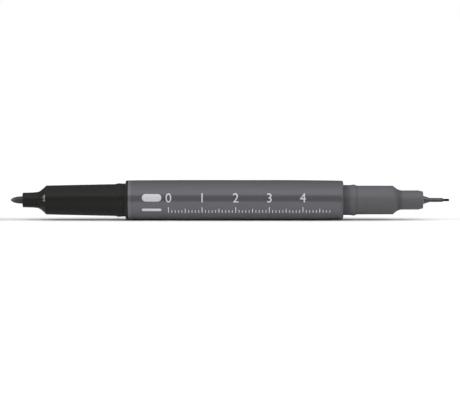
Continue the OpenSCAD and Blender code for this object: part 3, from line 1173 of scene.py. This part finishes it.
@dataclass(frozen=True)
class FineEnd(TipEnd):
    """The grey neck with its bead, shoulder and sleeve, and the steel ferrule and fine nib in it."""

    end: End = End.FINE
    plug_len: float = 6.0
    bead_at: float = 3.1
    bead_r: float = 4.64
    root_r: float = 4.51
    stem_r: float = 4.32
    shoulder_r: float = 4.30
    slope: float = 39.0
    hollow: float = 3.1
    stem_len: float = 14.9
    sleeve_r: float = 2.875
    sleeve_len: float = 6.15
    front_edge: float = 0.3
    holder_out: float = 5.95
    nib_r: float = 0.37
    nib_out: float = 1.95
    nib_point_len: float = 0.48
    nose_len: float = 1.4  # Length of the cone at the sleeve's front
    nose_drop: float = 0.26  # How much smaller the sleeve's radius is at its front
    front_wall: float = 0.8  # Thickness of the sleeve's front wall
    ferrule_r: float = 0.64
    ferrule_base_r: float = 1.3  # Radius of the ferrule where it leaves the sleeve
    ferrule_cone: float = 2.0
    flange_t: float = 0.5
    rim: float = 0.12
    bush_r: float = 1.72  # Radius of the flange and of the bush behind it
    root_shade: float = 0.6  # Middle of the band of painted shade at the neck's root
    bead_shade: float = 0.85  # Middle of the band of painted shade in front of the bead, from the bead
    hollow_shade: float = 1.0  # Middle of the band of painted shade behind the shoulder's foot, from that foot

    def section(self) -> Piece:
        """Turns the grey section and dresses it.

        Returns:
            The section.
        """
        bush_bore_r = self.bush_r + self.fits.press
        hole_r = self.ferrule_base_r + self.fits.press
        inner_front = self.front - self.front_wall
        nose_back = [(self.sleeve_r, self.front - self.nose_len)]
        nose = nose_back + self.edge(self.sleeve_r - self.nose_drop)
        inside = [
            (hole_r, self.front), (hole_r, inner_front), (bush_bore_r, inner_front),
            (bush_bore_r, self.cavity_end), (self.cavity_r, self.cavity_end),
        ]
        outside = self.plug(-self.fits.lip, self.root_r) + self.bead() + self.shoulder() + nose
        return dressed(self.turn("fine_section_shell", closed(outside + inside)), self.plastic())

    def ferrule(self) -> Piece:
        """Turns the steel ferrule and dresses it.

        Returns:
            The ferrule.
        """
        flange_front = self.front - self.front_wall
        back = flange_front - self.flange_t
        bore_r = self.nib_r + self.fits.press
        body = [
            (bore_r, back), (self.bush_r, back), (self.bush_r, flange_front),
            (self.ferrule_base_r, flange_front), (self.ferrule_base_r, self.front),
            (self.ferrule_r, self.front + self.ferrule_cone),
        ]
        rim = arc((self.ferrule_r - self.rim, self.nib_start - self.rim), self.rim, 0, 90)
        tube = self.turn("fine_ferrule_tube", closed(body + rim + [(bore_r, self.nib_start)]))
        return dressed(tube, self.steel())

    def nib(self) -> Piece:
        """Turns the fine nib and dresses it."""
        return dressed(self.turn_nib("fine_nib_point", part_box("fine_nib")[0].x), self.core())

    def plastic(self) -> Moulded:
        """The section's grey plastic.

        Returns:
            The finish, darker where the light dims and pale at the front edge.
        """
        # Painted shade: darker bands at the neck's root, in front of the bead and in the shoulder's hollow.
        # Painted highlight: a paler band at the front edge.
        root = Band(self.on_x(self.root_shade), half_width=2.2, colour=srgb(69, 68, 71), ragged=0.3)
        bead_foot = self.on_x(self.bead_at + self.bead_shade)
        bead = Band(bead_foot, half_width=0.5, colour=srgb(80, 79, 82), ragged=0.3)
        hollow_middle = self.on_x(self.foot - self.hollow_shade)
        hollow = Band(hollow_middle, half_width=1.3, colour=srgb(73, 72, 75), ragged=0.2)
        front_highlight = Band(self.on_x(self.front), half_width=0.3, colour=srgb(108, 108, 110))
        return Moulded(
            "grey plastic", srgb(89, 88, 92), roughness=0.42, specular=0.35, spread=0.1, tone=0.05,
            cell=0.1, bands=(root, bead, hollow, front_highlight),
        )

    def steel(self) -> DrawnSteel:
        """The ferrule's drawn steel."""
        return DrawnSteel("ferrule steel", srgb(124, 124, 126), roughness=0.18, tarnish=srgb(104, 103, 102))

    def core(self) -> Fibrous:
        """The fine nib's inked core, worn at its point."""
        worn = Band(self.on_x(self.tip), half_width=0.4, colour=srgb(30, 30, 30))
        return Fibrous(
            "fine nib core", srgb(10, 10, 11), roughness=0.6, specular=0.15, pale=srgb(26, 26, 26),
            cell=0.08, relief=0.006, bands=(worn,),
        )


@dataclass(frozen=True)
class Cap:
    """A push-on cap: a shell with a snap groove in its mouth and vent slots in its closed end."""

    closes: TipEnd  # The end of the marker that it closes
    body: Body
    outer_r: float  # Its radius at the mouth
    end_t: float = 1.2  # Thickness of its closed end
    taper: float = 0.5  # How much smaller its diameter is at the closed end
    edge: float = 1.0  # Rounding of the closed end's edge
    mouth_edge: float = 0.15  # Bevel of the mouth's edges
    groove_depth: float = 0.1
    snap_margin: float = 0.5  # How far the narrow mouth goes on behind the bead
    liner_wall: float = 0.5  # Wall of the liner inside
    vent_margin: float = 0.15  # Radial room between a vent, the liner and the cap's wall
    vent_count: int = 3
    vent_angle: float = 60.0  # Angle that a vent takes up, in degrees
    vent_steps: int = 16  # Steps along that angle
    overcut: float = 0.5  # How far a vent's cutter stands out of the closed end

    @property
    def mouth(self) -> float:
        """Place of the mouth on X, with the cap off."""
        low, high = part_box(self.body.value)
        return (high if self.closes.end is End.BULLET else low).x / MM

    @property
    def length(self) -> float:
        """Length of the cap."""
        low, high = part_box(self.body.value)
        return (high.x - low.x) / MM

    @property
    def inner_r(self) -> float:
        """Radius of the bore behind the mouth."""
        return self.closes.stem_r + 2 * self.closes.fits.cap_play

    def on_x(self, along: float) -> float:
        """A place on X, from the length behind the mouth."""
        return self.mouth + self.closes.end.value * along

    def shell(self) -> Piece:
        """Turns the shell, cuts its vents and dresses it.

        Returns:
            The shell.
        """
        fits = self.closes.fits
        mouth_r = self.closes.bead_r + fits.cap_play
        bead_at = self.closes.bead_at - fits.seat
        end_r = self.outer_r - self.taper / 2
        inner_end = self.length - self.end_t
        snap_len = bead_at + fits.bead_front + self.snap_margin
        half = fits.bead_back / 2
        inside = [
            (0.0, inner_end), (self.inner_r, inner_end), (self.inner_r, snap_len), (mouth_r, snap_len),
            (mouth_r, bead_at + half), (mouth_r + self.groove_depth, bead_at), (mouth_r, bead_at - half),
            (mouth_r, self.mouth_edge), (mouth_r + self.mouth_edge, 0.0),
        ]
        outside = [(self.outer_r - self.mouth_edge, 0.0), (self.outer_r, self.mouth_edge)]
        round_edge = arc((end_r - self.edge, self.length - self.edge), self.edge, 0, 90)
        outline = inside + outside + round_edge + [(0.0, self.length)]
        shell = self.closes.lathe.turn(f"{self.body.value}_shell", outline, self.mouth, self.closes.end)
        for i in range(self.vent_count):
            self.cut_vent(shell, 360 * (i + 0.5) / self.vent_count)
        smooth(shell)
        return dressed(shell, self.plastic())

    def cut_vent(self, shell: Piece, middle: float) -> None:
        """Cuts one vent slot through the closed end.

        Args:
            shell: The cap's shell.
            middle: Angle of the slot's middle about the axis, in degrees.
        """
        liner_r = self.closes.sleeve_r + self.closes.fits.liner_play
        inner = liner_r + self.liner_wall + self.vent_margin
        outer = self.inner_r - self.vent_margin
        depth = self.end_t + 2 * self.overcut
        along = self.on_x(self.length - self.end_t / 2)
        centre = self.closes.lathe.centre
        place = Vector((along, 0, (inner + outer) / 2)) * MM + centre
        cutter = new_plane(location=place, rotation=UPRIGHT)
        bpy.ops.object.transform_apply()
        with editing():
            bpy.ops.transform.resize(value=(depth, 1, outer - inner), center_override=place)
            start = math.radians(middle - self.vent_angle / 2)
            bpy.ops.transform.rotate(value=-start, orient_axis="X", center_override=centre)
            turn = math.radians(self.vent_angle)
            bpy.ops.mesh.spin(steps=self.vent_steps, angle=turn, center=centre, axis=AXIS)
            bpy.ops.mesh.select_all(action="SELECT")
            bpy.ops.mesh.normals_make_consistent(inside=False)
        slot = shell.modifiers.new("vent", "BOOLEAN")
        slot.operation = "DIFFERENCE"
        slot.solver = "EXACT"
        slot.object = cutter
        apply_modifiers(shell)
        bpy.data.objects.remove(cutter)

    def plastic(self) -> Moulded:
        """The cap's glossy plastic, black for the bullet end and grey for the fine end.

        Returns:
            The finish, paler at both edges.
        """
        black = self.closes.end is End.BULLET
        rim = srgb(50, 50, 49) if black else srgb(108, 108, 109)
        return Moulded(
            "black cap" if black else "grey cap", srgb(36, 36, 35) if black else srgb(92, 91, 95),
            roughness=0.33, specular=0.35, spread=0.05, tone=0.05, cell=0.3, relief=0.0006,
            bands=tuple(Band(self.on_x(along), half_width=0.4, colour=rim) for along in (0.0, self.length)),
        )


# The studio


@dataclass(frozen=True)
class Panel:
    """A plain panel of the studio, which shows in reflections alone."""

    name: str
    middle: tuple[float, float, float]
    size: Point  # Its width and height, or its length and depth where it lies flat
    level: float  # Its brightness
    turn: float | None = None  # About the upright axis in degrees; None where it lies flat
    lean: float = 0.0  # How far its top leans to its own right, in degrees

    def build(self) -> None:
        """Puts the panel in its place."""
        panel = new_plane()
        panel.name = self.name
        panel.scale = (*self.size, 1)
        panel.rotation_euler = (0, 0, -math.radians(self.lean))
        bpy.ops.object.transform_apply()
        if self.turn is not None:
            panel.rotation_euler = (math.pi / 2, 0, math.radians(self.turn))
        panel.location = Vector(self.middle) * MM
        bpy.ops.object.transform_apply()
        coat = Coat(self.name)
        coat.fill({"Base Color": BLACK, "Specular IOR Level": 0.0})
        coat.fill({"Emission Color": WHITE, "Emission Strength": self.level})
        panel.data.materials.append(coat.material)
        panel.visible_camera = panel.visible_diffuse = False
        panel.visible_transmission = panel.visible_shadow = False


@dataclass(frozen=True)
class Studio:
    """Pale floor, soft light and the camera.

    The light's curves run round the marker from 0 at the front, level with the floor, over 0.5
    straight above it to 1 at the back. Its sides are given by how far a way points along X.
    """

    axis_height: float  # Height of the marker's axis
    picture_width: float = 137.6  # Width of the picture at the marker
    aim_x: float = -1.7  # The picture's middle on X
    distance: float = 900.0  # From the camera to the marker
    elevation: float = 3.5  # The camera's angle above the floor, in degrees
    sensor: float = 36.0
    clip: Point = (0.01, 100.0)  # The nearest and farthest distance that the camera shows, in metres
    floor_size: float = 60.0  # Length of the floor's sides, in metres
    floor_shade: float = 0.92
    # Brightness that lights the pieces
    light: tuple[Point, ...] = ((0.1, 0.2), (0.2, 2.0), (0.42, 2.0), (0.7, 0.25))
    light_sides: Point = (0.8, 0.95)  # Where that light starts and ends to give way to the ends' light
    end_light: float = 0.9
    # Brightness that reflections show
    shine: tuple[Point, ...] = (
        (0.15, 0.05), (0.19, 1.2), (0.28, 1.2), (0.5, 0.6), (0.65, 0.3), (0.8, 0.12), (0.93, 0.12),
        (0.96, 1.0),
    )
    shine_sides: Point = (0.5, 0.85)  # Where that shine starts and ends to give way to the ends' shine
    end_shine: float = 0.25
    # Panels that reflections show too
    panels: tuple[Panel, ...] = (
        Panel("front_card", (0.0, -530.0, 0.1), (900.0, 900.0), 0.01),
        Panel("bullet_card", (-86.5, -40.5, 0.1), (107.0, 79.0), 0.42),
        Panel("fine_card", (86.5, -40.5, 0.1), (107.0, 79.0), 0.42),
        Panel("low_glint", (-70.5, -3.25, 6.8), (0.25, 5.2), 32.0, turn=90.0, lean=8.0),
        Panel("high_glint", (-70.5, -1.75, 10.9), (0.25, 4.0), 32.0, turn=90.0, lean=36.0),
    )

    def floor(self) -> None:
        """Lays a wide white floor that keeps the marker's shadow."""
        floor = new_plane(size=self.floor_size)
        floor.name = "floor"
        coat = Coat("floor white")
        nodes = coat.tree.nodes
        nodes.remove(nodes[SHADER])
        white = coat.add("BsdfDiffuse", {"Color": (self.floor_shade,) * 3 + (1,)})
        coat.feed(nodes["Material Output"].inputs["Surface"], white.outputs[0])
        floor.data.materials.append(coat.material)

    def sky(self) -> None:
        """Soft light from the front and above, with a dim gap at the camera's height and a dim back.

        Reflections see a light of their own, and low behind the marker the white background, which
        the camera and clear pieces see all round.
        """
        world = bpy.data.worlds.new("studio")
        bpy.context.scene.world = world
        world.use_nodes = True
        wiring = Wiring(world.node_tree)
        way = wiring.add("SeparateXYZ", {"Vector": wiring.add("TexCoord").outputs["Generated"]}).outputs
        towards = wiring.math("MULTIPLY", way[1], -1.0)
        turn = wiring.math("DIVIDE", wiring.math("ARCTAN2", way[2], towards), math.pi)
        aside = wiring.math("ABSOLUTE", way[0])
        levels = []
        for points, (start, stop), ends in (
            (self.light, self.light_sides, self.end_light),
            (self.shine, self.shine_sides, self.end_shine),
        ):
            share = wiring.ramp(aside, (start, 0.0), (stop, 1.0))
            levels.append(wiring.blend(share, wiring.curve(turn, points), ends))
        path = wiring.add("LightPath").outputs
        level = wiring.blend(path["Is Glossy Ray"], *levels)
        seen = wiring.math("MAXIMUM", path["Is Camera Ray"], path["Is Transmission Ray"])
        background = world.node_tree.nodes["Background"].inputs
        wiring.feed(background["Color"], WHITE)
        wiring.feed(background["Strength"], wiring.math("MAXIMUM", level, seen))

    def camera(self) -> None:
        """Sets the camera at the viewing angle."""
        tilt = math.radians(self.elevation)
        back = Vector((0, -math.cos(tilt), math.sin(tilt)))
        aim = Vector((self.aim_x, 0, self.axis_height))
        data = bpy.data.cameras.new("camera")
        data.sensor_width = self.sensor
        data.lens = self.sensor * self.distance / self.picture_width
        data.clip_start, data.clip_end = self.clip
        camera = bpy.data.objects.new("camera", data)
        bpy.context.scene.collection.objects.link(camera)
        camera.location = (aim + back * self.distance) * MM
        camera.rotation_euler = (-back).to_track_quat("-Z", "Y").to_euler()
        bpy.context.scene.camera = camera

    def build(self) -> None:
        """Builds the whole studio."""
        self.floor()
        for panel in self.panels:
            panel.build()
        self.sky()
        self.camera()
        bpy.context.scene.view_settings.view_transform = "Standard"


def main() -> None:
    """Builds and dresses every piece, then the studio."""
    logging.basicConfig(level=logging.INFO, format="%(name)s: %(message)s")
    for build in (build_grain, build_handling, build_wear, build_fibres):
        build()
    low, high = (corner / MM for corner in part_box("barrel"))
    lathe = Lathe((low.z + high.z) / 2)
    fits = Fits()

    barrel = Barrel(lathe, fits, low.x, high.x, (high.y - low.y) / 2)
    tube = barrel.tube()
    hand_over(tube, Body.MARKER, "barrel_lacquer", "barrel")
    for sheet in BarrelPrint(tube, lathe.axis_height).sheets():
        hand_over(sheet, Body.MARKER, None)

    bullet = BulletEnd(lathe, fits, low.x)
    hand_over(bullet.section(), Body.MARKER, "black_plastic", "bullet_section")
    hand_over(bullet.nib(), Body.MARKER, "nib_fibre", "bullet_nib")

    fine = FineEnd(lathe, fits, high.x)
    hand_over(fine.section(), Body.MARKER, "grey_plastic", "fine_section")
    hand_over(fine.ferrule(), Body.MARKER, "ferrule_steel", "fine_ferrule")
    hand_over(fine.nib(), Body.MARKER, "fine_nib_core", "fine_nib")

    bullet_cap = Cap(bullet, Body.BULLET_CAP, bullet.collar_r)
    fine_cap = Cap(fine, Body.FINE_CAP, barrel.radius - barrel.fine_drop / 2)
    for cap, slot in ((bullet_cap, "black_cap"), (fine_cap, "grey_cap")):
        hand_over(cap.shell(), cap.body, slot, cap.body.value)

    natural = Waxy("natural plastic", srgb(222, 220, 212), roughness=0.45)
    for node in ("fine_tip_bush", "bullet_cap_liner", "fine_cap_liner"):
        keep_node(node, natural)
    inked = Fibrous("ink fibre", srgb(40, 40, 44), roughness=0.9, pale=srgb(80, 80, 86), cell=0.12)
    keep_node("reservoir_core", inked)
    keep_node("reservoir_film", ClearFilm("wrap film", srgb(228, 229, 230), roughness=0.12))

    Studio(lathe.axis_height).build()


if __name__ == "__main__":
    main()
